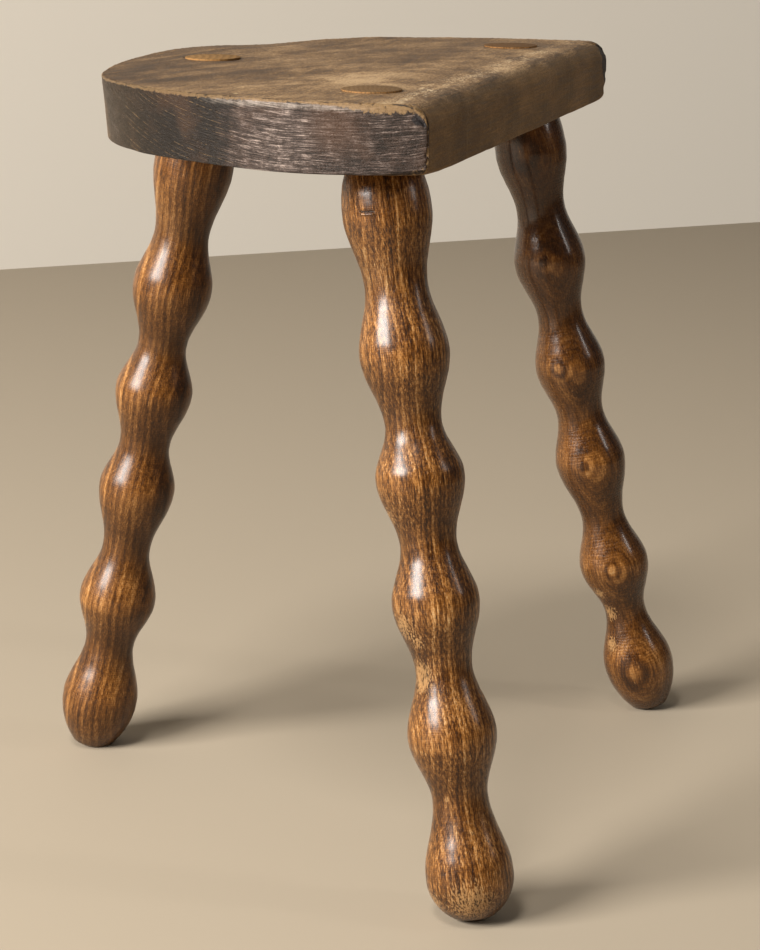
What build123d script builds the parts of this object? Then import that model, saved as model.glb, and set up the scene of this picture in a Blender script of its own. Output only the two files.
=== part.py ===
from build123d import *
from math import cos, radians, sin, tan
import os

# A three-legged stool: a D-shaped plank seat and three bobbin-turned legs, each let
# through the seat in a slanting tapered mortise.  Millimetres, +Z up.  X runs along the
# straight front edge, which faces -Y.  The origin is on the floor, on the seat's middle
# line, halfway between the front feet and the back foot.

# ---- Seat plank -----------------------------------------------------------------------
seat_height = 454.0            # floor to the top of the seat
seat_thickness = 37.0
seat_depth = 243.5             # straight front edge to the back of the curve
seat_front_y = -122.0          # the straight front edge
seat_front_left = 193.0        # the two halves of the straight front edge
seat_front_right = 195.0
seat_bulge_left = 3.0          # how far each side swells out past its front corner
seat_bulge_right = 7.0
seat_widest_behind = 42.0      # the widest line, measured back from the front edge
seat_fullness_left = 0.66      # handle lengths of the back curve, which was sawn by
seat_fullness_right = 0.53     # eye; a true ellipse has 0.552 on both sides
front_roundover = 13.0         # hand-worn top edge of the straight side
front_lower_round = 4.0
rim_round = 1.8                # worn arris round the curved side and up its two ends

# ---- Legs, measured down each leg's own axis ------------------------------------------
bead_radius = 24.8             # widest part of each bead
cove_radius = 15.7             # thinnest part between two beads
bead_count = 6                 # the last bead is the foot
bead_fullness = 0.364          # handle length of each wave; 0.364 draws a pure sine
first_bead_below_seat = 29.0   # underside of the seat to the first bead's crest
shoulder = 2.5                 # how far the first bead stands out from the tenon there
foot_end_radius = 12.5         # the square-sawn end of the foot
foot_wear = 1.6                # how deep the floor has worn into the foot's inner rim
tenon_top_radius = 16.5        # tenon where it comes through the seat's top
tenon_taper = 1.4              # half angle of the tapered tenon, degrees
tenon_proud = 1.0              # the tenon stands this far above the seat
tenon_edge_round = 0.8         # its worn edge
joint_clearance = 0.08         # between tenon and mortise, all round

# ---- Where the legs stand --------------------------------------------------------------
# A leg's axis crosses the seat's top and the floor at an x from the middle line and at a
# distance behind the seat's front edge.  A foot's length runs from its crest to its end.
left_top_x = -136.0
left_top_behind = 50.5
left_floor_x = -188.5
left_floor_behind = -30.5
left_foot_length = 23.0
right_top_x = 142.0
right_top_behind = 49.0
right_floor_x = 190.0
right_floor_behind = -46.5
right_foot_length = 31.0
back_top_x = -0.5
back_top_behind = 198.0
back_floor_x = -1.0
back_floor_behind = 289.5
back_foot_length = 31.0


class Leg:
    """One leg: where its axis crosses the seat's top and where it meets the floor, the
    length of its foot, its girth against the others, and how far each crest strays from
    even spacing, as a share of that spacing."""

    def __init__(self, name, at_seat, at_floor, foot_length, girth, stray):
        self.name = name
        self.top = Vector(at_seat[0], seat_front_y + at_seat[1], seat_height)
        self.bottom = Vector(at_floor[0], seat_front_y + at_floor[1], 0)
        self.foot_length = foot_length
        self.girth = girth
        self.stray = stray
        self.up = (self.top - self.bottom).normalized()
        self.lean = radians(self.up.get_angle(Vector(0, 0, 1)))


legs = [
    Leg("leg_front_left", (left_top_x, left_top_behind), (left_floor_x, left_floor_behind),
        left_foot_length, 1.00, (0.0, 0.034, -0.034, -0.088, -0.081, 0.0)),
    Leg("leg_front_right", (right_top_x, right_top_behind),
        (right_floor_x, right_floor_behind),
        right_foot_length, 0.945, (0.0, 0.0, 0.007, -0.048, -0.014, 0.0)),
    Leg("leg_back", (back_top_x, back_top_behind), (back_floor_x, back_floor_behind),
        back_foot_length, 0.99, (0.0, 0.055, 0.021, -0.055, 0.007, 0.0)),
]


def side_outline(side, front_x, bulge, fullness):
    """One side of the D, from its front corner to the middle of the back: a bulging arc
    to the widest line and one full back curve.  side is 1 on the right, -1 on the left."""
    widest = (side * (front_x + bulge), seat_front_y + seat_widest_behind)
    back = (0, seat_front_y + seat_depth)
    swell = TangentArc(widest, (side * front_x, seat_front_y), tangent=(0, -1))
    curve = Bezier(
        widest,
        (widest[0], widest[1] + fullness * (back[1] - widest[1])),
        (widest[0] * fullness, back[1]),
        back,
    )
    return swell + curve


def seat_outline():
    """The plank's D outline: a straight front and two unlike sides."""
    outline = Line((-seat_front_left, seat_front_y), (seat_front_right, seat_front_y))
    outline += side_outline(1, seat_front_right, seat_bulge_right, seat_fullness_right)
    outline += side_outline(-1, seat_front_left, seat_bulge_left, seat_fullness_left)
    return make_face(outline)


def tenon_radius(depth):
    """The tapered tenon's radius at a depth below the seat's top, along the axis."""
    return tenon_top_radius + depth * tan(radians(tenon_taper))


def on_axis(leg):
    """The place where the leg's axis crosses the seat's top, with Z up the axis."""
    return Location(Plane(origin=leg.top, x_dir=(1, 0, 0), z_dir=leg.up))


def mortise(leg):
    """The slanting tapered hole, cut past both faces of the plank."""
    reach = 2 * seat_thickness
    hole = Cone(
        tenon_radius(reach) + joint_clearance,
        tenon_radius(-reach) + joint_clearance,
        2 * reach,
    )
    return on_axis(leg) * hole


def wave(start, end):
    """Half a wave of the turning, from a crest to a cove or back, in (radius, height).
    Both ends run along the axis, so that one wave flows into the next."""
    handle = bead_fullness * (end[1] - start[1])
    return Bezier(start, (start[0], start[1] + handle), (end[0], end[1] - handle), end)


def leg_profile(leg):
    """Half section of a leg in (radius, height up the axis), from tenon to foot."""
    crest = bead_radius * leg.girth
    cove = cove_radius * leg.girth
    under_seat = seat_thickness / cos(leg.lean)
    neck_radius = tenon_radius(under_seat) + shoulder
    tenon_foot = under_seat + neck_radius * tan(leg.lean) + joint_clearance
    end = (seat_height + foot_wear - foot_end_radius * sin(leg.lean)) / cos(leg.lean)
    first_bead = under_seat + first_bead_below_seat
    spacing = (end - leg.foot_length - first_bead) / (bead_count - 1)
    beads = [first_bead + spacing * (i + leg.stray[i]) for i in range(bead_count)]

    tenon_head = 2 * seat_thickness
    tenon_end = (tenon_radius(tenon_foot), -tenon_foot)
    neck = (neck_radius, -tenon_foot)
    foot = (foot_end_radius, -end)
    outline = Line((0, tenon_head), (tenon_radius(-tenon_head), tenon_head))
    outline += Line((tenon_radius(-tenon_head), tenon_head), tenon_end)
    outline += Line(tenon_end, neck)
    outline += TangentArc((crest, -beads[0]), neck, tangent=(0, 1))
    for above, below in zip(beads, beads[1:]):
        middle = (above + below) / 2
        outline += wave((crest, -above), (cove, -middle))
        outline += wave((cove, -middle), (crest, -below))
    outline += TangentArc((crest, -beads[-1]), foot, tangent=(0, -1))
    outline += Line(foot, (0, -end))
    outline += Line((0, -end), (0, tenon_head))
    return make_face(Plane.XZ * outline)


def turned_leg(leg):
    """A leg turned about its axis, stood in place, its tenon sawn level just proud of
    the seat and its foot worn level by the floor."""
    body = on_axis(leg) * revolve(leg_profile(leg), Axis.Z)
    saw_line = Plane(origin=(0, 0, seat_height + tenon_proud), z_dir=(0, 0, 1))
    body = split(body, bisect_by=saw_line, keep=Keep.BOTTOM)
    body = split(body, bisect_by=Plane.XY, keep=Keep.TOP)
    rim = body.faces().sort_by(Axis.Z)[-1].edges()
    return fillet(rim, tenon_edge_round)


def rim_edges(plank):
    """The edges that bound the curved side: its rim above and below and its two ends."""
    along_front = plank.edges().filter_by(Axis.X)
    joins = plank.edges().filter_by(Axis.Z).filter_by_position(
        Axis.Y, seat_front_y + seat_widest_behind / 2, seat_front_y + 2 * seat_depth
    )
    return plank.edges() - along_front - joins


def plank_seat():
    """The solid seat: front roundover, worn rim and the three slanting mortises."""
    plank = extrude(seat_outline(), amount=seat_thickness)
    plank = Pos(0, 0, seat_height - seat_thickness) * plank
    upper = plank.edges().filter_by(Axis.X).sort_by(Axis.Z)[-1]
    plank = fillet(upper, front_roundover)
    lower = plank.edges().filter_by(Axis.X).sort_by(Axis.Z)[0]
    plank = fillet(lower, front_lower_round)
    plank = fillet(rim_edges(plank), rim_round)
    for leg in legs:
        plank -= mortise(leg)
    return plank


os.makedirs("parts", exist_ok=True)
export_step(plank_seat(), "parts/seat.step")
for leg in legs:
    export_step(turned_leg(leg), f"parts/{leg.name}.step")
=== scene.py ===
import math

import bmesh
import bpy
import numpy as np
from mathutils import Matrix, Vector, noise
from mathutils.geometry import interpolate_bezier, intersect_point_line


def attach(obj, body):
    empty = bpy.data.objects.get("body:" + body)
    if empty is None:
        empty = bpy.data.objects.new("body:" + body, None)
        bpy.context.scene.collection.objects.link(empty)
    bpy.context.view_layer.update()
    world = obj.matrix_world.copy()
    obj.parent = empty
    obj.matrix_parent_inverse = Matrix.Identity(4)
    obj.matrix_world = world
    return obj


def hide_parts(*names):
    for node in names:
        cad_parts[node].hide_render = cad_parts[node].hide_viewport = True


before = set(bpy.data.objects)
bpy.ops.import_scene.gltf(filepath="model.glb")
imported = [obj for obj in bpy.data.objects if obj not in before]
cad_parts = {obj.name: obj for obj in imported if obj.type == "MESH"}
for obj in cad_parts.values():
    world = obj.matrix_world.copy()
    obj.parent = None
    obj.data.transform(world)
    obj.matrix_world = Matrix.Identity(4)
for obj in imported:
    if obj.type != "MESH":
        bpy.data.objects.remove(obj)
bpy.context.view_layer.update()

# ---- Legs -------------------------------------------------------------------------------
# Three legs, each turned by hand from one square of open-grained hardwood into six bobbins
# and a tapered tenon, then stained and waxed.  Every tenon is driven up through the seat
# and sawn off just proud of it, and every foot is sawn square and worn level by the floor.

mm = 0.001
SEAT_TOP = 0.454
TENON_PROUD = 0.0010
WAVE_HANDLE = 0.364            # handle length that makes a Bezier wave a pure sine


class Leg:
    """A leg's place and its own shape.  Waves are (distance down the axis from the seat's
    top, radius), crest and cove by turns, in millimetres as the turner would measure."""

    def __init__(self, name, at_seat, at_floor, tenon, waves, foot, bow, wood):
        self.name = name
        self.top = Vector((at_seat[0], at_seat[1], SEAT_TOP))
        self.bottom = Vector((at_floor[0], at_floor[1], 0.0))
        self.tenon = tenon
        self.waves = waves
        self.foot = foot
        self.bow = bow
        self.wood = wood
        up = (self.top - self.bottom).normalized()
        across = (Vector((1, 0, 0)) - up * up.x).normalized()
        self.frame = Matrix((across, up.cross(across), up)).transposed()

    def place(self):
        """From the leg's own axis, with the seat's top at zero, to where it stands."""
        return Matrix.Translation(self.top) @ self.frame.to_4x4()


legs = [
    Leg("leg_front_left", (-0.1360, -0.0715), (-0.1885, -0.1525),
        [(-70, 14.8), (42.1, 17.5)],
        [(42.1, 20.2), (66, 24.9), (106, 17.6), (144, 25.0), (183, 15.7), (213, 24.8),
         (250, 15.9), (283, 24.4), (320, 15.8), (358, 24.9), (394, 15.6), (438.3, 24.7)],
        (461.2, 12.5), 0.0,
        dict(pith=(20, -57), ring_width=2.6, rings=0.30, mottle=0.45, fibre=0.90,
             marks=(0.06, 1.2), stained=0.0, seat_shadow=0.0, polish=0.58, smooth=0.25,
             sawn=((84, 62, 38), (132, 104, 72)), eyes=[],
             worn=[((-19, 15.5, -293), 17), ((-22, 9, -303), 13), ((-15, 19, -233), 13),
                   ((-15.8, 2.3, -391.6), 3.0), ((-14, 10, -322), 20), ((-23, 2, -392), 12),
                   ((-20, -6, -449), 26), ((-12, 16, -448), 15)])),
    Leg("leg_front_right", (0.1420, -0.0730), (0.1900, -0.1685),
        [(-70, 14.8), (42.6, 17.5)],
        [(42.6, 19.2), (69, 23.3), (107, 15.9), (143, 23.4), (180, 14.9), (216, 23.0),
         (250, 15.4), (284, 23.1), (324, 14.4), (359, 23.1), (393, 13.6), (432, 23.3)],
        (463.4, 12.3), 5.3,
        dict(pith=(-62, -20), ring_width=1.9, rings=0.17, mottle=0.35, fibre=0.40,
             marks=(0.07, 2.0), stained=0.04, seat_shadow=0.45, polish=0.72, smooth=0.20,
             sawn=((66, 44, 22), (112, 80, 48)),
             eyes=[((-22.9, -0.7, -66), 1.0, 15.0), ((-23.4, 0.6, -138), -0.8, 8.0),
                   ((-22.2, 6.6, -211), 1.1, 6.4), ((-22.9, 3.6, -280), -0.8, 8.0),
                   ((-22.9, -0.6, -356), 0.9, 6.8), ((-22.8, -0.4, -432), 1.0, 15.0)],
             worn=[((-18, 14, -374), 9), ((-12, 10, -390), 11), ((-17, 14, -412), 11)])),
    Leg("leg_back", (-0.0005, 0.0760), (-0.0010, 0.1675),
        [(-70, 14.8), (41.9, 17.5)],
        [(41.9, 20.0), (68, 24.6), (111, 17.0), (146, 24.8), (184, 15.4), (215, 24.4),
         (251, 15.9), (281, 24.1), (322, 15.3), (358, 24.6), (391, 15.7), (429.5, 24.5)],
        (461.0, 12.8), 0.0,
        dict(pith=(-24, 70), ring_width=4.4, rings=0.36, mottle=0.42, fibre=0.48,
             marks=(0.07, 1.3), stained=0.02, seat_shadow=0.0, polish=0.52, smooth=0.28,
             sawn=((108, 76, 42), (162, 126, 80)), eyes=[], worn=[((-8, 14, -372), 14)])),
]


def turned_line(leg):
    """The leg's half profile from tenon to foot, as one Bezier line through every crest
    and cove, made a mesh."""
    line = bpy.data.curves.new(leg.name + "_line", "CURVE")
    line.dimensions = "3D"
    line.resolution_u = 30
    stops = leg.tenon + leg.waves + [leg.foot, (leg.foot[0], 0.0)]
    spline = line.splines.new("BEZIER")
    spline.bezier_points.add(len(stops) - 1)
    first = len(leg.tenon)
    last = first + len(leg.waves) - 1
    for i, (point, (down, radius)) in enumerate(zip(spline.bezier_points, stops)):
        point.handle_left_type = point.handle_right_type = "FREE"
        before = stops[max(i - 1, 0)]
        after = stops[min(i + 1, len(stops) - 1)]
        point.co = (radius, 0, -down)
        point.handle_left = (radius, 0, -down)
        point.handle_right = (radius, 0, -down)
        if first < i <= last:
            point.handle_left = (radius, 0, -down + WAVE_HANDLE * (down - before[0]))
            point.handle_right = (radius, 0, -down - WAVE_HANDLE * (after[0] - down))
    # the blunt shoulder under the seat: how far out and down it leaves the neck, and how
    # long the first bead's own curve is; then the round of the foot
    shoulder_out, shoulder_down, bead_share = 0.42, 3.2, 0.52
    neck, crest = stops[first], stops[first + 1]
    spline.bezier_points[first].handle_right = (
        neck[1] + shoulder_out * (crest[1] - neck[1]), 0, -neck[0] - shoulder_down)
    spline.bezier_points[first + 1].handle_left = (
        crest[1], 0, -crest[0] + bead_share * (crest[0] - neck[0]))
    crest, end = stops[last], leg.foot
    drop, run = crest[1] - end[1], end[0] - crest[0]
    arc = (run * run + drop * drop) / (2 * drop)
    turn = math.asin(min(1.0, run / arc))
    reach = 4 / 3 * math.tan(turn / 4) * arc
    spline.bezier_points[last].handle_right = (crest[1], 0, -crest[0] - reach)
    spline.bezier_points[last + 1].handle_left = (
        end[1] + reach * math.sin(turn), 0, -end[0] + reach * math.cos(turn))
    holder = bpy.data.objects.new(leg.name + "_line", line)
    mesh = bpy.data.meshes.new_from_object(holder)
    bpy.data.objects.remove(holder)
    return mesh


def hand_turned(leg, co):
    """How far a point of the spun leg moves out or in: it isn't quite round, the gouge
    left faint rings, and the surface has small knocks.  All in millimetres."""
    down = -co.z
    angle = math.atan2(co.y, co.x)
    seed = 17.0 * len(leg.name)
    around = Vector((math.cos(angle), math.sin(angle), down / 70 + seed))
    move = 0.35 * noise.noise(around * 0.9)
    move += 0.16 * noise.noise(Vector((seed, 0.3, down / 5.5)))
    move += 0.10 * noise.noise(Vector((around.x * 5, around.y * 5, down / 30 + seed)))
    return move


def stain(red, green, blue):
    """A colour as the eye reads it, 0 to 255, made linear."""
    return tuple((c / 255 / 12.92 if c < 10.3 else ((c / 255 + 0.055) / 1.055) ** 2.4)
                 for c in (red, green, blue)) + (1.0,)


class Finish:
    """A wood finish built up node by node.  Its coordinates are millimetres from origin,
    turned by the given rotation, so that its Z can run along a leg.  Colours are given as
    the eye reads them, 0 to 255."""

    def __init__(self, name, origin, rotation):
        self.material = bpy.data.materials.new(name)
        self.material.use_nodes = True
        self.nodes = self.material.node_tree.nodes
        self.links = self.material.node_tree.links
        self.shader = self.nodes["Principled BSDF"]
        self.coords = self.nodes.new("ShaderNodeTexCoord")
        place = self.put("Mapping", {0: self.coords.outputs["Object"]}, vector_type="TEXTURE")
        place.inputs["Location"].default_value = origin
        place.inputs["Rotation"].default_value = rotation
        place.inputs["Scale"].default_value = (mm, mm, mm)
        self.at = place.outputs[0]

    def put(self, kind, sockets, **settings):
        """A node of that kind, with its settings and its sockets linked or set."""
        node = self.nodes.new("ShaderNode" + kind)
        for key, value in settings.items():
            setattr(node, key, value)
        for key, value in sockets.items():
            self.feed(node.inputs[key], value)
        return node

    def feed(self, socket, value):
        """Links an output to a socket, or sets the socket to a value."""
        if isinstance(value, bpy.types.NodeSocket):
            self.links.new(value, socket)
        else:
            socket.default_value = value

    def set(self, name, value):
        """Gives the finish one of its looks, such as its colour or roughness."""
        self.feed(self.shader.inputs[name], value)

    def calc(self, operation, a, b=0.0, c=0.0):
        """One step of arithmetic."""
        return self.put("Math", {0: a, 1: b, 2: c}, operation=operation).outputs[0]

    def times(self, value, *others):
        """Several values multiplied together."""
        for other in others:
            value = self.calc("MULTIPLY", value, other)
        return value

    def plus(self, value, pattern, share):
        """The value with a share of a pattern added."""
        return self.calc("MULTIPLY_ADD", pattern, share, value)

    def swing(self, value, *patterns):
        """The value moved up or down by each pattern's distance from its middle, times the
        share that comes with it."""
        for pattern, share in patterns:
            value = self.plus(value, self.calc("SUBTRACT", pattern, 0.5), share)
        return value

    def step(self, value, low, high, start=0.0, end=1.0):
        """A smooth step of a value from low to high."""
        return self.put(
            "MapRange", {0: value, 1: low, 2: high, 3: start, 4: end},
            interpolation_type="SMOOTHSTEP").outputs[0]

    def parts(self, at):
        """The x, y and z of some coordinates."""
        return self.put("SeparateXYZ", {0: at}).outputs

    def scaled(self, x, y, z, at=None):
        """The coordinates scaled by x, y and z, so that a pattern draws out along a grain."""
        return self.put("VectorMath", {0: at or self.at, 1: (x, y, z)},
                        operation="MULTIPLY").outputs[0]

    def shift(self, at, by):
        """The coordinates moved by a fixed step or by another output."""
        return self.put("VectorMath", {0: at, 1: by}, operation="ADD").outputs[0]

    def length(self, at):
        """How far a point lies from the origin of its coordinates."""
        return self.put("VectorMath", {0: at}, operation="LENGTH").outputs["Value"]

    def spot(self, place, radius, core):
        """1 within core of a place, falling to 0 at radius."""
        away = self.length(self.shift(self.at, tuple(-c for c in place)))
        return self.step(away, radius, core)

    def cloud(self, scale, detail=2.0, rough=0.5, twist=0.0, at=None):
        """Soft noise from 0 to 1, finer along an axis the larger its scale."""
        return self.put(
            "TexNoise", {"Vector": self.scaled(*scale, at=at), "Scale": 1.0, "Detail": detail,
                         "Roughness": rough, "Distortion": twist}).outputs[0]

    def drift(self, scale, reach):
        """A slow wander of up to half of reach each way, to bend straight grain."""
        wander = self.put("TexNoise", {"Vector": self.scaled(*scale), "Scale": 1.0,
                                       "Detail": 3.0}).outputs["Color"]
        return self.scaled(*reach, at=self.shift(wander, (-0.5, -0.5, -0.5)))

    def by_ring(self, ring, scale):
        """Soft noise that is the same all along a growth ring."""
        return self.put("TexNoise", {"W": ring, "Scale": scale, "Detail": 2.0},
                        noise_dimensions="1D").outputs[0]

    def painted(self, name):
        """The share from 0 to 1 that the mesh itself carries under that name."""
        return self.put("Attribute", {}, attribute_name=name).outputs["Fac"]

    def tones(self, value, *stops):
        """Stain colours along a value, each stop a place and a colour."""
        node = self.put("ValToRGB", {0: value})
        ramp = node.color_ramp
        while len(ramp.elements) < len(stops):
            ramp.elements.new(0.5)
        for element, (place, colour) in zip(ramp.elements, stops):
            element.position = place
            element.color = stain(*colour)
        return node.outputs[0]

    def over(self, share, below, above):
        """One colour laid over another, each an output or a plain colour."""
        below, above = (stain(*c) if isinstance(c, tuple) else c for c in (below, above))
        return self.put("Mix", {0: share, 6: below, 7: above}, data_type="RGBA").outputs[2]

    def relief(self, height, strength, depth):
        """Turns a height pattern into fine relief."""
        bump = self.put("Bump", {"Height": height, "Strength": strength, "Distance": depth})
        self.set("Normal", bump.outputs[0])


def leg_wood(leg, pith, ring_width, rings, mottle, fibre, marks, stained, seat_shadow, polish,
             smooth, sawn, eyes, worn):
    """Stained, waxed, open-grained wood for one leg.  The growth rings are tubes round a
    pith that lies to one side of the leg, so the turning cuts them into lines and ovals.
    rings, mottle and fibre say how strongly each of them shows.  marks is the strength and
    the spacing of the fine rings that the gouge left.  stained darkens the whole leg; the
    seat's painted shadow darkens its top.  polish is the strength of the wax and smooth its
    roughness.  sawn is the tenon end's two colours.  An eye is an oval of grain on a bead:
    its place, how light it is and how wide its rings are.  worn gives the rubbed places and
    their sizes."""
    wood = Finish(leg.name + "_wood", leg.top, leg.frame.to_euler())
    marked, mark_spacing = marks
    from_pith = wood.shift(wood.at, (-pith[0], -pith[1], 0.0))
    from_pith = wood.shift(wood.scaled(1.0, 1.0, 0.0, from_pith),
                           wood.drift((0.02, 0.02, 0.009), (9.0, 9.0, 0.0)))
    ring = wood.calc("DIVIDE", wood.length(from_pith), ring_width)
    in_ring = wood.calc("FRACT", ring)
    early = wood.times(wood.step(in_ring, 0.0, 0.15), wood.step(in_ring, 0.85, 0.3))
    fine = wood.cloud((0.95, 0.95, 0.075), detail=3.0, rough=0.65, twist=0.15)
    cloudy = wood.cloud((0.42, 0.42, 0.075), detail=5.0, rough=0.65, twist=0.3)
    dash = wood.cloud((1.5, 1.5, 0.21), rough=0.6)
    glint = wood.cloud((1.3, 1.3, 0.42), rough=0.6)
    patch = wood.cloud((0.045, 0.045, 0.018))
    down = wood.parts(wood.at)[2]
    chatter = wood.times(wood.cloud((0.09, 0.09, 0.30)), 14.0)
    hatch = wood.calc("SINE", wood.plus(chatter, down, math.tau / mark_spacing))
    hatch = wood.times(hatch, wood.step(cloudy, 0.30, 0.60, 0.25, 1.0))
    tone = wood.swing(
        0.5, (wood.by_ring(ring, 0.6), 1.2 * rings), (early, -0.32 * rings), (fine, fibre),
        (cloudy, mottle), (patch, 0.50), (glint, 0.60 * min(1.0, fibre + 0.2)))
    tone = wood.plus(tone, hatch, 0.35 * marked)
    for place, light, spacing in eyes:
        away = wood.shift(wood.at, tuple(-c for c in place))
        away = wood.calc("SUBTRACT", wood.length(wood.scaled(0.0, 1.0, 0.85, away)), 1.2)
        away = wood.calc("MAXIMUM", wood.swing(away, (cloudy, 5.0)), 0.0)
        wave = wood.calc("COSINE", wood.times(away, math.tau / spacing))
        tone = wood.plus(tone, wave, wood.step(away, 1.9 * spacing, 0.0, 0.0, 0.16 * light))
    colour = wood.tones(
        wood.calc("SUBTRACT", tone, stained), (0.14, (30, 14, 4)), (0.34, (68, 38, 11)),
        (0.52, (114, 71, 29)), (0.68, (161, 111, 58)), (0.88, (202, 160, 108)))
    # dark pores; dirt in the coves with painted shade laid over it there; a painted shadow of
    # the seat near the top; and painted shade where the surface faces down
    pores = wood.times(wood.step(dash, 0.54, 0.66), wood.plus(0.5, early, 0.5))
    colour = wood.over(wood.times(pores, 0.85 * fibre), colour, (28, 13, 4))
    # dirt in the coves, darkened further as painted shade: the thinner the leg, the darker
    thin = wood.step(wood.length(wood.scaled(1.0, 1.0, 0.0)), 22.0, 15.0)
    cove_dirt_and_shade = wood.times(thin, wood.plus(0.4, wood.step(patch, 0.35, 0.65), 0.6), 0.50)
    colour = wood.over(cove_dirt_and_shade, colour, (46, 25, 8))
    # painted shadow of the seat: the leg's top darkened towards the seat by the share given
    colour = wood.over(wood.step(down, -185.0, -95.0, 0.0, seat_shadow), colour, (44, 23, 7))
    # painted shade: darker where the surface faces down, under each bead
    facing = wood.parts(wood.coords.outputs["Normal"])[2]
    colour = wood.over(wood.step(facing, 0.10, -0.32, 0.0, 0.45), colour, (42, 23, 8))
    for place, size in worn:
        rub = wood.swing(wood.spot(place, size, 0.1 * size), (glint, 2.6), (fine, 1.4))
        colour = wood.over(wood.step(rub, 0.60, 1.00, 0.0, 0.62), colour, (178, 138, 90))
    colour = wood.over(wood.painted("cracked"), colour, (20, 11, 6))
    # the sawn end of the tenon, rubbed about as pale as the seat, and its bright rim
    level = wood.parts(wood.coords.outputs["Object"])[2]
    on_top = wood.step(level, SEAT_TOP - 0.4 * mm, SEAT_TOP + 0.1 * mm)
    end = wood.over(wood.cloud((0.9, 0.9, 0.0), detail=4.0, rough=0.7), *sawn)
    end = wood.over(wood.times(early, 0.35), end, (84, 60, 36))
    colour = wood.over(on_top, colour, end)
    rim = wood.times(wood.step(level, SEAT_TOP, SEAT_TOP + 0.2 * mm),
                     wood.step(level, SEAT_TOP + 0.95 * mm, SEAT_TOP + 0.8 * mm),
                     wood.step(glint, 0.42, 0.58, 0.1, 0.8))
    wood.set("Base Color", wood.over(rim, colour, (160, 116, 70)))
    wood.set("Roughness", wood.plus(
        wood.plus(wood.plus(smooth, pores, 0.18), glint, 0.16), on_top, 0.35))
    wood.set("Specular IOR Level", 0.12)
    wood.set("Specular Tint", (1.0, 0.94, 0.88, 1.0))
    wood.set("Coat Weight", wood.plus(polish, on_top, -polish))
    wood.set("Coat Roughness", smooth)
    height = wood.plus(wood.times(fine, 0.8), pores, -0.8 * fibre)
    height = wood.plus(height, glint, 0.3 + 0.6 * fibre)
    height = wood.plus(height, hatch, 1.6 * marked * mark_spacing)
    wood.relief(height, 0.55, 0.6 * mm)
    return wood.material


def hill(away, width):
    """A smooth hill, 1 at its middle."""
    return math.exp(-((away / width) ** 2))


def from_line(co, line):
    """Distance of a point from a line through several places."""
    away = math.inf
    for start, end in zip(line, line[1:]):
        share = min(1.0, max(0.0, intersect_point_line(co, start, end)[1]))
        away = min(away, (co - start.lerp(end, share)).length)
    return away


def groove(bm, layer, line, width, depth, lip):
    """Sinks a narrow split along a line of places, in millimetres on the leg's own axis,
    after cutting the faces round it finer.  A lip raises the wood just under it."""
    line = [Vector(place) for place in line]
    reach = 3.5 * width + 1.0
    longest = 40.0
    close = {v for v in bm.verts
             if abs(v.co.z - line[0].z) < longest and from_line(v.co, line) < reach}
    near = [e for e in bm.edges if e.verts[0] in close and e.verts[1] in close]
    bmesh.ops.subdivide_edges(bm, edges=near, cuts=3, use_grid_fill=True)
    for vert in bm.verts:
        if abs(vert.co.z - line[0].z) > longest:
            continue
        away = from_line(vert.co, line)
        if away < reach:
            out = Vector((vert.co.x, vert.co.y, 0.0)).normalized()
            sunk = hill(away, 0.6 * width)
            vert[layer] = max(vert[layer], sunk)
            below = from_line(vert.co + Vector((0, 0, 2.2 * width)), line)
            vert.co += out * (lip * hill(below, width) - depth * sunk)


def foot_split(bearing):
    """The line of a drying split that runs down over the foot at that bearing."""
    return [
        (radius * math.cos(bearing + turn), radius * math.sin(bearing + turn), z)
        for radius, turn, z in ((24.6, 0.0, -430 + 5 * math.sin(7 * bearing)),
                                (23.0, 0.03, -446 + 3 * math.sin(5 * bearing)),
                                (17.5, 0.01, -455))]


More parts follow.
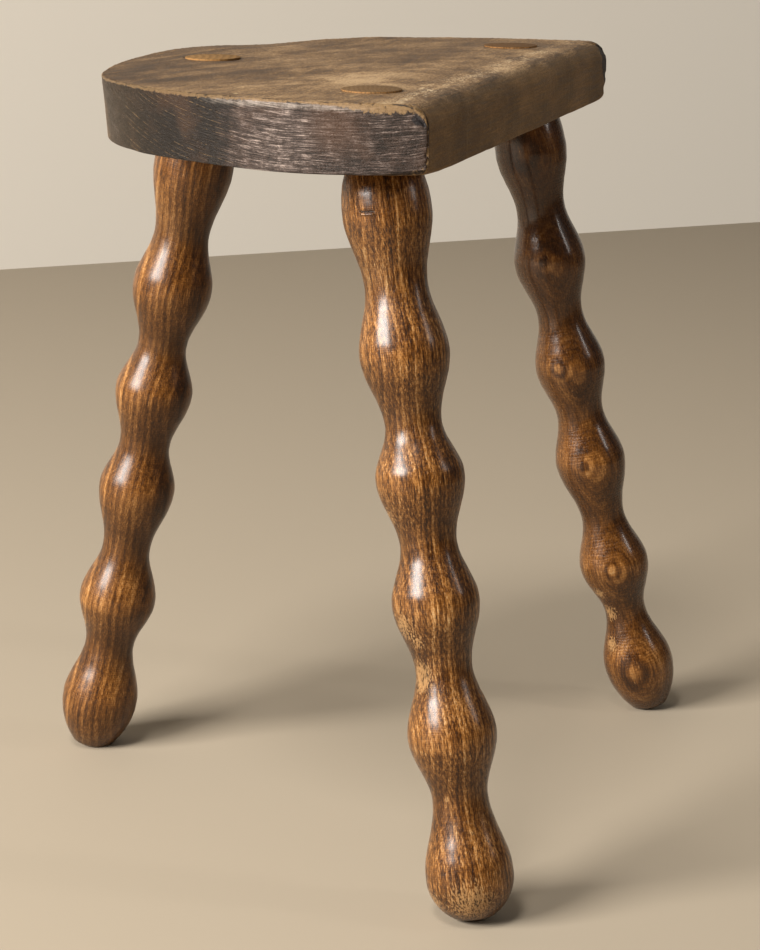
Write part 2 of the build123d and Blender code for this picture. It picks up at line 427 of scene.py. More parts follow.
# each split's line, width, depth and lip: a knock that raised a lip, a crack down a cove
# and the drying splits round the foot
FOOT_SPLITS = (2.15, 2.31, 2.44, 2.60, 2.71, 2.88, 3.02, 3.19, 3.33, 3.50)
SPLITS = {
    "leg_front_left": [
        ([(-23.9, 7.0, -64.6), (-24.8, 3.3, -65.2), (-24.9, -0.6, -65.4)], 0.60, 1.0, 0.45),
        ([(-17.5, 8.6, -404), (-20.2, 7.2, -411), (-21.0, 9.6, -418), (-22.4, 8.2, -424)],
         0.40, 0.5, 0.0),
    ] + [(foot_split(bearing), 0.38, 0.45, 0.0) for bearing in FOOT_SPLITS],
}
TURN_STEPS = 144
WORN_RIM = 0.5                 # how far the rims of tenon and foot are worn round
BOWED_TO = Vector((-0.31, 0.95, 0.0))  # the way a leg has bowed as its wood dried
for leg in legs:
    bm = bmesh.new()
    mesh = turned_line(leg)
    bm.from_mesh(mesh)
    bmesh.ops.remove_doubles(bm, verts=bm.verts, dist=1e-5)
    bmesh.ops.spin(
        bm, geom=bm.verts[:] + bm.edges[:], cent=(0, 0, 0), axis=(0, 0, 1), dvec=(0, 0, 0),
        angle=math.tau, steps=TURN_STEPS, use_merge=True)
    bmesh.ops.remove_doubles(bm, verts=bm.verts, dist=1e-4)
    bmesh.ops.recalc_face_normals(bm, faces=bm.faces)
    cracked = bm.verts.layers.float.new("cracked")
    for line, width, depth, lip in SPLITS.get(leg.name, []):
        groove(bm, cracked, line, width, depth, lip)
    under_seat = leg.tenon[1][0]
    foot_down = leg.foot[0]
    side = (leg.frame.inverted() @ BOWED_TO).normalized()
    for vert in bm.verts:
        co = vert.co
        down = -co.z
        if down > under_seat:
            out = Vector((co.x, co.y, 0.0))
            if out.length > 1e-6:
                vert.co = co + out.normalized() * hand_turned(leg, co)
            along = (down - under_seat) / (foot_down - under_seat)
            vert.co += side * (leg.bow * 4 * along * (1 - along))
    bmesh.ops.scale(bm, vec=(mm, mm, mm), verts=bm.verts)
    bmesh.ops.transform(bm, matrix=leg.place(), verts=bm.verts)
    for height, up in ((SEAT_TOP + TENON_PROUD, 1), (0.0, -1)):
        cut = bmesh.ops.bisect_plane(
            bm, geom=bm.verts[:] + bm.edges[:] + bm.faces[:], dist=1e-7,
            plane_co=(0, 0, height), plane_no=(0, 0, up), clear_outer=True)
        rim = [e for e in cut["geom_cut"] if isinstance(e, bmesh.types.BMEdge)]
        bmesh.ops.holes_fill(bm, edges=rim, sides=0)
        bmesh.ops.bevel(
            bm, geom=rim, offset=WORN_RIM * mm, segments=3, profile=0.5, affect="EDGES",
            clamp_overlap=True)
    bmesh.ops.recalc_face_normals(bm, faces=bm.faces)
    mesh.clear_geometry()
    bm.to_mesh(mesh)
    bm.free()
    mesh.shade_smooth()
    mesh.materials.append(leg_wood(leg, **leg.wood))
    piece = bpy.data.objects.new("turned_" + leg.name, mesh)
    bpy.context.scene.collection.objects.link(piece)
    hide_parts(leg.name)
    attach(piece, "root")

# ---- Seat -------------------------------------------------------------------------------
# One thick plank of old flat-sawn wood, sawn by eye to a D.  Its straight edge is rounded
# by years of hands, its curved side shows dark end grain with a worn golden arris, and
# three slanting mortises take the tenons.  The section is worked in millimetres.

SEAT_Z, UNDER = 454.0, 417.0
THICK = SEAT_Z - UNDER
FRONT, BACK = -122.0, 121.5
FRONT_ROUND = 13.0
WIDEST_BEHIND = 42.0           # the widest line, measured back from the front edge
INSET = 14.0                   # the rim band reaches this far in from the edge
CURVE_POINTS = 400             # along each part of the outline, before it is spaced out


def shallow_arc(run, bulge):
    """Handle length and turn of the arc that bulges that much over that run."""
    radius = (run * run + bulge * bulge) / (2 * bulge)
    turn = math.asin(run / radius)
    return 4 / 3 * math.tan(turn / 4) * radius, turn


def swell(side, front_x, bulge):
    """Knots and handles of one end's shallow arc, from its front corner to its widest."""
    reach, turn = shallow_arc(WIDEST_BEHIND, bulge)
    corner = Vector((side * front_x, FRONT, 0))
    widest = Vector((side * (front_x + bulge), FRONT + WIDEST_BEHIND, 0))
    leave = Vector((side * math.sin(turn), math.cos(turn), 0)) * reach
    return corner, corner + leave, widest - Vector((0, reach, 0)), widest


def back_curve(widest, fullness):
    """Knots and handles from one end's widest point round to the middle of the back."""
    return (widest, Vector((widest.x, widest.y + fullness * (BACK - widest.y), 0)),
            Vector((widest.x * fullness, BACK, 0)), Vector((0, BACK, 0)))


def drawn(parts):
    """Points along a run of Bezier parts."""
    points = []
    for knot, handle, other, end in parts:
        points += interpolate_bezier(knot, handle, other, end, CURVE_POINTS)[:-1]
    return np.array([p.to_2d() for p in points + [parts[-1][3]]])


def spaced(points, count, extra=2.2, dense=9.0):
    """The same line in count steps, closer together towards both of its ends."""
    steps = np.linalg.norm(np.diff(points, axis=0), axis=1)
    along = np.concatenate([[0], np.cumsum(steps)])
    weight = 1 + extra * (np.exp(-along / dense) + np.exp((along - along[-1]) / dense))
    load = np.concatenate([[0], np.cumsum((weight[1:] + weight[:-1]) / 2 * steps)])
    wanted = np.interp(np.linspace(0, load[-1], count + 1), load, along)
    return np.column_stack([np.interp(wanted, along, points[:, k]) for k in (0, 1)])


def seat_wood():
    """Old flat-sawn wood, stained dark, with its heart above the seat: the growth rings
    are wide tubes along X that rise to the back.  End grain has drunk more stain, and
    wear has brought out pale gold on every arris."""
    wood = Finish("seat_wood", (0, 0, 0), (0, 0, 0))
    x, y, z = wood.parts(wood.at)
    from_pith = wood.shift(wood.at, (0.0, 60.0, -820.0))
    from_pith = wood.shift(from_pith, wood.drift((0.004, 0.012, 0.012), (0.0, 12.0, 6.0)))
    # the log tapers, so the rings lie lower in the plank towards its left end
    radius = wood.plus(wood.length(wood.scaled(0.0, 1.0, 1.0, from_pith)), x, 0.11)
    ring = wood.calc("DIVIDE", radius, 2.7)
    in_ring = wood.calc("FRACT", ring)
    along_rings = wood.put("CombineXYZ", {0: x, 1: y, 2: radius}).outputs[0]
    streak = wood.cloud((0.007, 0.012, 0.30), detail=4.0, rough=0.6, twist=0.3, at=along_rings)
    fibre = wood.cloud((0.035, 0.8, 0.8), detail=3.0, rough=0.6)
    dash = wood.cloud((0.09, 1.6, 1.6), rough=0.6)
    cloudy = wood.cloud((0.022, 0.03, 0.03), detail=4.0, rough=0.6)
    soil = wood.cloud((0.10, 0.16, 0.16), detail=4.0, rough=0.65)
    ragged = wood.cloud((0.55, 0.55, 0.55), detail=3.0, rough=0.7)
    speck = wood.cloud((0.7, 0.7, 1.5), detail=3.0, rough=0.7)
    pale = wood.painted("pale")
    tone = wood.swing(
        0.47, (streak, 1.00), (fibre, 0.90), (cloudy, 0.80), (soil, 0.65), (speck, 1.50))
    tone = wood.plus(tone, wood.times(pale, wood.step(cloudy, 0.2, 0.6)), 0.30)
    tone = wood.plus(tone, wood.times(wood.painted("dark"), wood.step(soil, 0.25, 0.6)), -0.42)
    face = wood.tones(
        tone, (0.10, (54, 36, 20)), (0.34, (88, 63, 38)), (0.54, (118, 90, 58)),
        (0.74, (146, 117, 82)), (0.95, (176, 146, 108)))
    # the straight edge, browner and scraped along the grain
    normal = wood.parts(wood.coords.outputs["Normal"])
    front = wood.tones(
        wood.swing(0.5, (cloudy, 1.0), (fibre, 0.9), (speck, 0.9)),
        (0.15, (78, 56, 28)), (0.5, (112, 82, 45)), (0.9, (148, 112, 68)))
    scrape = wood.cloud((0.50, 0.20, 0.028), detail=3.0, rough=0.6)
    front = wood.over(wood.step(scrape, 0.58, 0.70, 0.0, 0.45), front, (150, 120, 80))
    face = wood.over(wood.step(normal[1], -0.30, -0.80, 0.0, 0.85), face, front)
    # the curved side: end grain, brushed along its rings, with a painted sheen at the left and
    # a painted highlight under its arris, sooty behind that, and a darker olive painted where
    # it turns away at the back, standing in for its shade and its reflection of the wall
    brushed = wood.cloud((0.05, 0.065, 1.35), detail=5.0, rough=0.80, at=along_rings)
    # painted sheen: the end grain made lighter at the left, where it glances the light
    painted_sheen = wood.times(wood.step(y, -85.0, -40.0), wood.step(y, 18.0, -12.0))
    sooty = wood.times(wood.step(y, -22.0, 10.0), wood.step(y, 85.0, 45.0))
    end_tone = wood.swing(0.36, (brushed, 2.4), (speck, 0.5), (soil, 0.7))
    end_tone = wood.plus(wood.plus(end_tone, painted_sheen, 0.13), sooty, -0.58)
    end = wood.tones(
        end_tone, (0.12, (18, 12, 9)), (0.40, (48, 36, 30)), (0.62, (84, 71, 65)),
        (0.95, (174, 156, 145)))
    end = wood.over(wood.step(cloudy, 0.5, 0.7, 0.0, 0.15), end, (112, 78, 54))
    end = wood.over(wood.times(wood.spot((-194, -72, 442), 24, 3), 0.25), end, (108, 74, 50))
    # painted highlight: a pale line on the end grain just under the top arris, where its round
    # catches the light
    painted_arris_highlight = wood.times(
        wood.step(z, 448.5, 451.0), wood.step(z, 453.2, 452.2), wood.step(y, -98.0, -80.0),
        wood.step(y, 14.0, -14.0), wood.step(wood.swing(brushed, (soil, 0.8)), 0.3, 0.7))
    end = wood.over(wood.times(painted_arris_highlight, 0.45), end, (196, 184, 172))
    # painted shade and reflection: darker olive where the curved side turns away at the back
    end = wood.over(wood.step(y, 30.0, 85.0, 0.0, 0.65), end, (46, 37, 26))
    gold = wood.times(
        wood.step(in_ring, 0.88, 0.94), wood.step(in_ring, 1.0, 0.97),
        wood.step(wood.by_ring(ring, 0.8), 0.42, 0.58, 0.25, 1.0),
        wood.step(y, -30.0, 15.0), wood.step(y, 90.0, 60.0),
        wood.step(wood.swing(speck, (soil, 0.8)), 0.48, 0.62))
    end = wood.over(wood.times(gold, 0.65), end, (164, 132, 90))
    across_grain = wood.calc("ABSOLUTE", normal[0])
    end_share = wood.step(across_grain, 0.25, 0.6)
    colour = wood.over(end_share, face, end)
    # wear on the arrises, the bruised corners, a small knot and two pale flecks
    rubbed = wood.swing(wood.painted("rubbed"), (ragged, 1.9), (soil, 1.1))
    rubbed = wood.step(rubbed, 0.46, 0.82)
    colour = wood.over(wood.times(rubbed, wood.step(y, 60.0, -80.0, 0.45, 0.80)), colour,
                       wood.over(ragged, (96, 71, 43), (166, 135, 94)))
    flecks = wood.times(
        pale, wood.step(wood.swing(speck, (soil, 0.6)), 0.55, 0.63),
        wood.step(y, -84.0, -98.0), wood.step(across_grain, 0.25, 0.1), 0.9)
    colour = wood.over(flecks, colour, (218, 196, 160))
    bruised = wood.swing(wood.painted("bruised"), (ragged, 0.8))
    colour = wood.over(wood.step(bruised, 0.35, 0.60, 0.0, 0.9), colour, (26, 24, 27))
    colour = wood.over(wood.spot((72, -84, SEAT_Z), 3.2, 1.2), colour, (48, 36, 25))
    for place, size in (((-176.6, -8, SEAT_Z), 1.5), ((-165.5, -70, SEAT_Z), 1.6)):
        colour = wood.over(wood.spot(place, size, 0.9), colour, (196, 172, 130))
    pores = wood.step(dash, 0.60, 0.72)
    wood.set("Base Color", wood.over(wood.times(pores, 0.30), colour, (50, 34, 22)))
    wood.set("Roughness", wood.plus(wood.plus(0.36, fibre, 0.3), end_share, -0.10))
    wood.set("Specular IOR Level", 0.24)
    wood.set("Specular Tint", (1.0, 0.95, 0.89, 1.0))
    height = wood.plus(wood.times(fibre, 0.6), pores, -0.5)
    height = wood.plus(height, wood.times(brushed, end_share), 1.5)
    height = wood.plus(wood.plus(height, speck, 0.8), rubbed, -0.5)
    wood.relief(height, 0.6, 0.7 * mm)
    return wood.material


# the two sides are unlike, and the back bulges out a little at its left
BULGE_AT, BULGE, BULGE_WIDTH = (-125, 93), 2.6, 36
right_swell = swell(1, 203.5, -1.0)
left_swell = swell(-1, 193.5, 3.5)
right_back = back_curve(right_swell[3], 0.55)
left_back = back_curve(left_swell[3], 0.66)
curved_side = drawn([right_swell, right_back, left_back[::-1], left_swell[::-1]])
heading = np.gradient(curved_side, axis=0)
heading /= np.linalg.norm(heading, axis=1)[:, None]
inner_side = curved_side + INSET * np.column_stack([-heading[:, 1], heading[:, 0]])
inner_side = inner_side[inner_side[:, 1] >= FRONT + INSET]
straight = np.linspace(curved_side[-1], curved_side[0], CURVE_POINTS)
inner_straight = np.linspace(inner_side[-1], inner_side[0], CURVE_POINTS)
FRONT_STEPS, SIDE_STEPS = 400, 800
outer = np.vstack([spaced(straight, FRONT_STEPS)[:-1], spaced(curved_side, SIDE_STEPS)[:-1]])
inner = np.vstack(
    [spaced(inner_straight, FRONT_STEPS)[:-1], spaced(inner_side, SIDE_STEPS)[:-1]])
inward = (inner - outer) / INSET
from_bulge = np.linalg.norm(outer - BULGE_AT, axis=1)
outer -= inward * (BULGE * np.exp(-((from_bulge / BULGE_WIDTH) ** 2)))[:, None]
is_side = np.arange(len(outer)) >= FRONT_STEPS


def edge_noise(scale, seed):
    """Smooth noise round the plank's edge, the same each time."""
    return np.array([noise.noise(Vector((x / scale, y / scale, seed))) for x, y in outer])


def front_drop(y):
    """How far the hand-worn front edge lies below the seat's top at a given y."""
    back = np.clip(FRONT + FRONT_ROUND - y, 0.0, FRONT_ROUND)
    return FRONT_ROUND - np.sqrt(FRONT_ROUND**2 - back**2)


# how far the edges are worn at each point round the plank, near and far corner apart: the
# top arris, which the straight side leaves to its round, the lower arris, and the way the
# side leans in under the bulge
from_near = np.linalg.norm(outer - outer[0], axis=1)
from_far = np.linalg.norm(outer - outer[FRONT_STEPS], axis=1)
left_end = np.exp(-((outer[:, 0] + 175) ** 2 + (outer[:, 1] - 20) ** 2) / 45**2)
SHARP = 1e-6                   # a round too small to see, but never quite none
arris = 0.9 + 0.4 * edge_noise(9, 1.0) + 0.4 * edge_noise(2.6, 2.0)
arris += 1.9 * np.exp(-(((from_near - 22) / 20) ** 2)) + 0.5 * left_end
arris = np.where(is_side, np.maximum(arris, 0.45), SHARP)
lower = 0.7 + 0.4 * edge_noise(14, 3.0)
lower += 5.5 * np.exp(-from_near / 16) + 5.0 * np.exp(-from_far / 9)
lean_in = 3.8 * np.exp(-((from_bulge / 42) ** 2))


def corner_wear(height):
    """How far each corner's upright arris is worn back, for a row at these heights: 0.41
    of its round.  The far corner is broken down more above and below than half way up."""
    far_round = 1.2 + 3.0 * np.clip((height - 444) / 8, 0, 1)
    far_round += 7.0 * np.clip((431 - height) / 14, 0, 1)
    return sum(0.41 * worn * np.clip(1 - away / worn, 0, 1) ** 2
               for worn, away in ((1.7, from_near), (far_round, from_far)))


def rim_row(depth, height):
    """One row of points round the plank, depth in from the edge, at these heights."""
    return np.column_stack([outer + inward * (depth + corner_wear(height))[:, None], height])


# rows of points round the plank: in over the top's rim band, down the side, and round the
# lower arris to the underside
TOP_DEPTHS = (14, 12.2, 10.4, 8.6, 7.0, 5.6, 4.4, 3.4, 2.6, 1.9, 1.3, 0.85, 0.5, 0.22, 0.06, 0)
EDGE_ROW = len(TOP_DEPTHS) - 1
SIDE_ROWS = 34
LOWER_ROWS = 7
rows = []
for depth in TOP_DEPTHS:
    over = np.clip(arris - depth, 0.0, arris)
    height = SEAT_Z - (arris - np.sqrt(arris**2 - over**2))
    height -= front_drop((outer + inward * depth)[:, 1])
    rows.append(rim_row(np.full(len(outer), float(depth)), height))
edge_height = rows[EDGE_ROW][:, 2]
for share in np.linspace(0, 1, SIDE_ROWS + 1)[1:]:
    height = edge_height + (UNDER + lower - edge_height) * share
    rows.append(rim_row(lean_in * share, height))
for turn in np.linspace(0, math.pi / 2, LOWER_ROWS + 1)[1:]:
    height = UNDER + lower * (1 - math.sin(turn))
    rows.append(rim_row(lean_in + lower * (1 - math.cos(turn)), height))
rows.append(np.column_stack([inner, np.full(len(outer), UNDER)]))

bm = bmesh.new()
column = bm.verts.layers.int.new("column")
row_of = bm.verts.layers.int.new("row")
rubbed = bm.verts.layers.float.new("rubbed")
bruised = bm.verts.layers.float.new("bruised")
pale = bm.verts.layers.float.new("pale")
dark = bm.verts.layers.float.new("dark")
ring = bmesh.ops.create_circle(bm, segments=len(outer), radius=1.0)["verts"]
for i, vert in enumerate(ring):
    vert[column] = i
edges = top_edges = bm.edges[:]
for number, row in enumerate(rows):
    if number > 0:
        grown = bmesh.ops.extrude_edge_only(bm, edges=edges)["geom"]
        ring = {part for part in grown if isinstance(part, bmesh.types.BMVert)}
        edges = [part for part in grown if isinstance(part, bmesh.types.BMEdge)
                 and part.verts[0] in ring and part.verts[1] in ring]
    for vert in ring:
        vert.co = row[vert[column]]
        vert[row_of] = number
bmesh.ops.holes_fill(bm, edges=edges, sides=0)

# the middle of the top, a sheet stretched between four lines of the same D and joined to
# the rim band
ACROSS_STEPS, DEEP_STEPS = 120, 76
LINE_STEPS = 200
SHEET_GAP = 3.5                # between the rim band and the sheet
NO_ROW = -1
middle = outer + inward * (INSET + SHEET_GAP)
right_end, left_start = int(SIDE_STEPS * 0.27), int(SIDE_STEPS * 0.73)
loop = np.vstack([middle[FRONT_STEPS:], middle[:1]])
near_side = spaced(np.vstack([middle[:FRONT_STEPS], loop[:1]]), LINE_STEPS, 0)
right_side = spaced(loop[:right_end + 1], LINE_STEPS, 0)
far_side = spaced(loop[right_end:left_start + 1][::-1], LINE_STEPS, 0)
left_side = spaced(loop[left_start:][::-1], LINE_STEPS, 0)


def along_side(line, share):
    """The point at that share of a line."""
    steps = np.arange(LINE_STEPS + 1)
    return np.array([np.interp(share * LINE_STEPS, steps, line[:, k]) for k in (0, 1)])


sheet = bmesh.ops.create_grid(
    bm, x_segments=ACROSS_STEPS, y_segments=DEEP_STEPS, size=1.0)["verts"]
for vert in sheet:
    u, v = (vert.co.x + 1) / 2, (vert.co.y + 1) / 2
    near, far = along_side(near_side, u), along_side(far_side, u)
    left, right = along_side(left_side, v), along_side(right_side, v)
    corners = ((1 - u) * (1 - v) * near_side[0] + u * (1 - v) * near_side[-1]
               + (1 - u) * v * far_side[0] + u * v * far_side[-1])
    flat = (1 - v) * near + v * far + (1 - u) * left + u * right - corners
    vert.co = (flat[0], flat[1], SEAT_Z)
    vert[row_of] = NO_ROW
in_sheet = set(sheet)
sheet_rim = [e for e in bm.edges if e.is_boundary and e.verts[0] in in_sheet]
bmesh.ops.bridge_loops(bm, edges=top_edges + sheet_rim)
bmesh.ops.recalc_face_normals(bm, faces=bm.faces)
bm.normal_update()


def rubbed_by_hands(at, row, co):
    """How far the stain is rubbed off, 0 to 1: along the top of the curved side, wider at
    the near corner, down that corner's upright arris and under it."""
    near = from_near[at]
    share = 0.0
    if is_side[at]:
        down_the_side = 0.5 + 2.6 * hill(near - 26, 20) + 0.5 * left_end[at]
        in_on_top = 0.5 + 4.5 * hill(near - 14, 22) + 0.6 * left_end[at]
        if row < EDGE_ROW:
            share = hill((Vector(outer[at]) - co.to_2d()).length, in_on_top)
        else:
            share = hill(edge_height[at] - co.z, down_the_side)
        if row > EDGE_ROW + SIDE_ROWS:
            share = max(share, 0.5 * hill(near, 26))
    if row >= EDGE_ROW - 2:
        share = max(share, hill(near, 1.1) * (0.95 if co.z < 432 else 0.6))
    return share


def patches(co, ovals):
    """How far a place on the top lies in soft oval patches: each has a middle, a size and
    a strength."""
    return sum(strength * math.exp(-(((co.x - x) / wide) ** 2) - ((co.y - y) / deep) ** 2)
               for (x, y), (wide, deep), strength in ovals)


# where sitting has rubbed the top pale, and where it has kept its stain or taken up dirt
PALE_PATCHES = [((-95, -52), (60, 42), 0.9), ((-150, 40), (22, 50), 0.5),
                ((15, -60), (60, 30), 0.5)]
PALE_EDGE = -101.0             # the rubbed line along the straight edge
DARK_PATCHES = [
    ((-58, 28), (17, 14), 0.9), ((-98.5, -22), (4.5, 25), 1.0), ((-72, 84), (62, 26), 1.1),
    ((-135, 60), (34, 34), 0.8), ((75, -38), (60, 16), 0.6), ((110, 42), (45, 12), 0.7),
    ((165, -20), (20, 60), 0.5), ((-120, 70), (18, 22), 0.6), ((60, 100), (60, 15), 0.5)]

# a crack that follows the near corner's arris, and the bruise beside it
CORNER_CRACK = (Vector((-193.8, -103, 454.3)), Vector((-193.8, -112.8, 452.2)),
                Vector((-193.8, -119.6, 443.5)))
BRUISE = Vector((-193.8, -115.5, 446.5))

# slow rises and falls of the top, each a place, a width and a height, and the sag of the
# lower edge at the left
WARPS = [((40, 112), 40, 1.0), ((116, 84), 34, -1.5), ((174, 31), 16, 0.6),
         ((-75, 110), 26, -0.5)]
SAG_AT, SAG_WIDTH, SAG = Vector((-199, -45)), 48, 1.6
DENTS = [  # place, radius, depth
    ((203, -122, 448), 3.6, 1.0), ((203, -122, 432), 3.0, 0.9), ((201, -122, 423), 4.5, 0.9),
    ((-190, -113, 447), 5.5, 1.3), ((-191, -117, 443), 3.0, 0.9), ((-194, -121, 428), 1.6, 0.9),
    ((-194, -121, 424), 1.4, 0.7), ((-60, 60, 454), 7.0, 0.25), ((-90, -60, 454), 2.0, 0.3),
]


def roughness(vert):
    """How far the surface stands out or in: a hand-planed top, sawn end grain, crumbled
    arrises and dents.  The underside only ever goes in."""
    co = vert.co
    move = 0.30 * noise.noise(co / 60) + 0.16 * noise.noise(co / 17)
    if vert[row_of] != NO_ROW and is_side[vert[column]]:
        if vert[row_of] > EDGE_ROW - 3:
            grain = Vector((co.x / 14, co.y / 14, co.z / 1.5))
            move += 0.07 * noise.noise(grain) + 0.05 * noise.noise(co / 1.9)
        if EDGE_ROW - 6 <= vert[row_of] <= EDGE_ROW + 4:
            move += 0.28 * noise.noise(co / 1.7 + Vector((5, 5, 5)))
    for place, radius, depth in DENTS:
        away = (co - Vector(place)).length / radius
        if away < 1:
            move -= depth * (1 - away * away) ** 2
    return min(move, 0.0) if co.z < UNDER + 0.2 else move


def broken_corner(co):
    """How far the far corner is broken down to dark end grain, with a ragged edge: most
    near the top and near the bottom."""
    if co.x < 150 or co.y > -100:
        return 0.0
    edge = 190 + 12 * max(0.0, (438 - co.z) / 14) + 5 * noise.noise(co / 3)
    edge += 12 * max(0.0, (co.z - 449) / 5)
    return min(1.0, max(0.0, (co.x - edge) / 3))


for vert in bm.verts:
    co = vert.co
    away = from_line(co, CORNER_CRACK)
    move = roughness(vert) - 0.8 * hill(away, 0.7)
    if co.z > 440:
        pale_edge = 0.8 * hill(co.y - PALE_EDGE, 8) * (1.0 if co.x < 120 else 0.4)
        vert[pale] = min(1.0, patches(co, PALE_PATCHES) + pale_edge)
        vert[dark] = min(1.0, patches(co, DARK_PATCHES))
    if vert[row_of] != NO_ROW:
        vert[rubbed] = rubbed_by_hands(vert[column], vert[row_of], co)
    vert[bruised] = max(hill(away, 1.1), 0.85 * hill((co - BRUISE).length, 3.6),
                        broken_corner(co))
    for place, width, rise in WARPS:
        co.z += rise * hill((co.to_2d() - Vector(place)).length, width) * (co.z - UNDER) / THICK
    if EDGE_ROW < vert[row_of] < len(rows) - 1:
        co.z -= SAG * hill((co.to_2d() - SAG_AT).length, SAG_WIDTH) * (SEAT_Z - co.z) / THICK
    vert.co = co + vert.normal * move
bmesh.ops.scale(bm, vec=(mm, mm, mm), verts=bm.verts)
seat_mesh = bpy.data.meshes.new("plank_seat")
seat_mesh.materials.append(seat_wood())
bm.to_mesh(seat_mesh)
bm.free()
seat = bpy.data.objects.new("plank_seat", seat_mesh)
bpy.context.scene.collection.objects.link(seat)

# the three slanting tapered mortises, each cut a little wider than its tenon
JOINT_GAP = 0.25
REACH = 60.0
for leg in legs:
    bm = bmesh.new()
    (head, head_radius), (neck, neck_radius) = leg.tenon
    slope = (neck_radius - head_radius) / (neck - head)
    at_top = head_radius - slope * head + JOINT_GAP
    bmesh.ops.create_cone(
        bm, cap_ends=True, segments=TURN_STEPS, depth=2 * REACH,
        radius1=at_top + slope * REACH, radius2=at_top - slope * REACH)
    bmesh.ops.scale(bm, vec=(mm, mm, mm), verts=bm.verts)
    bmesh.ops.transform(bm, matrix=leg.place(), verts=bm.verts)
    mesh = bpy.data.meshes.new(leg.name + "_mortise")
    bm.to_mesh(mesh)
    bm.free()
    cutter = bpy.data.objects.new(leg.name + "_mortise", mesh)
    bpy.context.scene.collection.objects.link(cutter)
    cut = seat.modifiers.new("mortise", "BOOLEAN")
    cut.operation = "DIFFERENCE"
    cut.solver = "EXACT"
    cut.object = cutter
    view = bpy.context.evaluated_depsgraph_get()
    carved = bpy.data.meshes.new_from_object(seat.evaluated_get(view))
    seat.modifiers.clear()
    seat.data = carved
    bpy.data.objects.remove(cutter)
seat.data.shade_smooth()
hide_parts("seat")
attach(seat, "root")

# ---- Stage ------------------------------------------------------------------------------
# A plain pale floor and wall, a wide soft window light from the left, two small soft
# lamps, one high and one low at the right, and the camera.

FLOOR_COLOUR = (0.40, 0.335, 0.25, 1.0)
WALL_COLOUR = (0.43, 0.39, 0.33, 1.0)
WALL_GLOW = 0.55
WALL_LEFT, WALL_RIGHT = Vector((1.58, 1.02, 0.0)), Vector((2.33, 0.14, 0.0))
CAMERA_AT = (-1.4708, -0.5162, 0.6067)
CAMERA_HEADING, CAMERA_DIP, CAMERA_TILT = -71.805, 14.701, 0.332
bm = bmesh.new()
bmesh.ops.create_grid(bm, x_segments=1, y_segments=1, size=12.0)
floor_mesh = bpy.data.meshes.new("floor")
bm.to_mesh(floor_mesh)
bm.free()
floor = bpy.data.objects.new("floor", floor_mesh)
bpy.context.scene.collection.objects.link(floor)
floor_paint = bpy.data.materials.new("pale_floor")
floor_paint.use_nodes = True
floor_shader = floor_paint.node_tree.nodes["Principled BSDF"]
floor_shader.inputs["Base Color"].default_value = FLOOR_COLOUR
floor_shader.inputs["Roughness"].default_value = 0.7
floor_mesh.materials.append(floor_paint)

# the wall behind: pale to the eye and in reflections, without lighting the stool
bm = bmesh.new()
bmesh.ops.create_grid(bm, x_segments=1, y_segments=1, size=4.0)
bmesh.ops.rotate(bm, verts=bm.verts, matrix=Matrix.Rotation(math.pi / 2, 3, "X"))
wall_turn = math.atan2(WALL_RIGHT.y - WALL_LEFT.y, WALL_RIGHT.x - WALL_LEFT.x)
bmesh.ops.rotate(bm, verts=bm.verts, matrix=Matrix.Rotation(wall_turn, 3, "Z"))
bmesh.ops.translate(bm, verts=bm.verts, vec=(WALL_LEFT + WALL_RIGHT) / 2)
wall_mesh = bpy.data.meshes.new("wall")
bm.to_mesh(wall_mesh)
bm.free()
wall = bpy.data.objects.new("wall", wall_mesh)
bpy.context.scene.collection.objects.link(wall)
wall_paint = bpy.data.materials.new("pale_wall")
wall_paint.use_nodes = True
wall_nodes, wall_links = wall_paint.node_tree.nodes, wall_paint.node_tree.links
wall_shader = wall_nodes["Principled BSDF"]
wall_shader.inputs["Base Color"].default_value = WALL_COLOUR
wall_shader.inputs["Roughness"].default_value = 0.9
wall_shader.inputs["Emission Color"].default_value = WALL_COLOUR
ray = wall_nodes.new("ShaderNodeLightPath")
seen = wall_nodes.new("ShaderNodeMath")
seen.operation = "MAXIMUM"
wall_links.new(ray.outputs["Is Camera Ray"], seen.inputs[0])
wall_links.new(ray.outputs["Is Glossy Ray"], seen.inputs[1])
seen_or_through = wall_nodes.new("ShaderNodeMath")
seen_or_through.operation = "MAXIMUM"
wall_links.new(seen.outputs[0], seen_or_through.inputs[0])
wall_links.new(ray.outputs["Is Transmission Ray"], seen_or_through.inputs[1])
glow = wall_nodes.new("ShaderNodeMath")
glow.operation = "MULTIPLY"
glow.inputs[1].default_value = WALL_GLOW
wall_links.new(seen_or_through.outputs[0], glow.inputs[0])
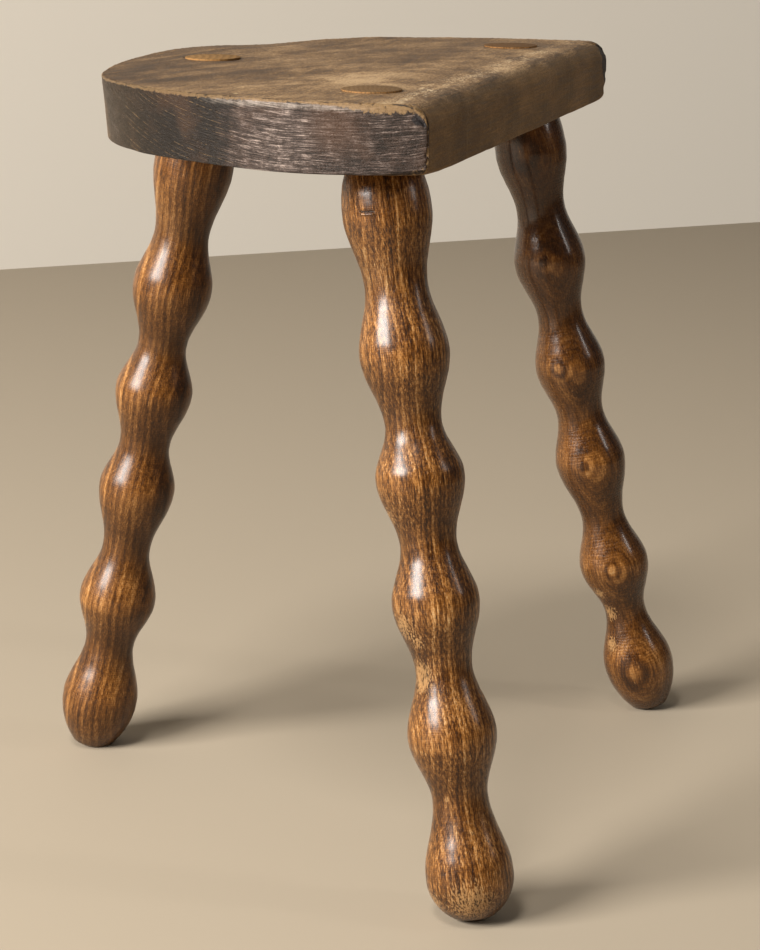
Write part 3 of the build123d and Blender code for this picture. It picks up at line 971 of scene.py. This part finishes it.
wall_links.new(glow.outputs[0], wall_shader.inputs["Emission Strength"])
wall_mesh.materials.append(wall_paint)

world = bpy.data.worlds.new("room")
world.use_nodes = True
bpy.context.scene.world = world
room = world.node_tree.nodes["Background"]
room.inputs["Color"].default_value = (0.95, 0.93, 0.90, 1.0)
room.inputs["Strength"].default_value = 0.05


def soft_lamp(name, bearing, height, distance, width, tall, watts, tint):
    """A soft rectangular lamp.  bearing is its angle to the left of the camera's line, as
    seen from the stool; it looks at the middle of the legs."""
    line = math.radians(CAMERA_HEADING - 90.0 - bearing)
    aim = Vector((0.0, -0.03, 0.25))
    flat = distance * math.cos(math.radians(height))
    up = distance * math.sin(math.radians(height))
    place = aim + Vector((flat * math.cos(line), flat * math.sin(line), up))
    data = bpy.data.lights.new(name, "AREA")
    data.shape = "RECTANGLE"
    data.size, data.size_y = width, tall
    data.energy = watts
    data.color = tint
    lamp = bpy.data.objects.new(name, data)
    lamp.matrix_world = Matrix.Translation(place) @ (
        (aim - place).to_track_quat("-Z", "Y").to_matrix().to_4x4())
    bpy.context.scene.collection.objects.link(lamp)


soft_lamp("window_light", 57.0, 25.4, 3.2, 1.60, 1.04, 208.0, (1.0, 0.965, 0.92))
soft_lamp("front_light", 25.0, 62.0, 3.2, 0.62, 0.80, 42.0, (1.0, 0.965, 0.92))
soft_lamp("side_light", -74.0, 28.0, 2.2, 0.14, 0.8, 5.0, (1.0, 0.97, 0.93))

camera_data = bpy.data.cameras.new("camera")
camera_data.sensor_fit = "AUTO"
camera_data.sensor_width = 36.0
camera_data.lens = 97.41
camera = bpy.data.objects.new("camera", camera_data)
camera.matrix_world = (
    Matrix.Translation(CAMERA_AT)
    @ Matrix.Rotation(math.radians(CAMERA_HEADING), 4, "Z")
    @ Matrix.Rotation(math.radians(90.0 - CAMERA_DIP), 4, "X")
    @ Matrix.Rotation(math.radians(CAMERA_TILT), 4, "Z"))
bpy.context.scene.collection.objects.link(camera)
bpy.context.scene.camera = camera
bpy.context.scene.view_settings.view_transform = "Standard"
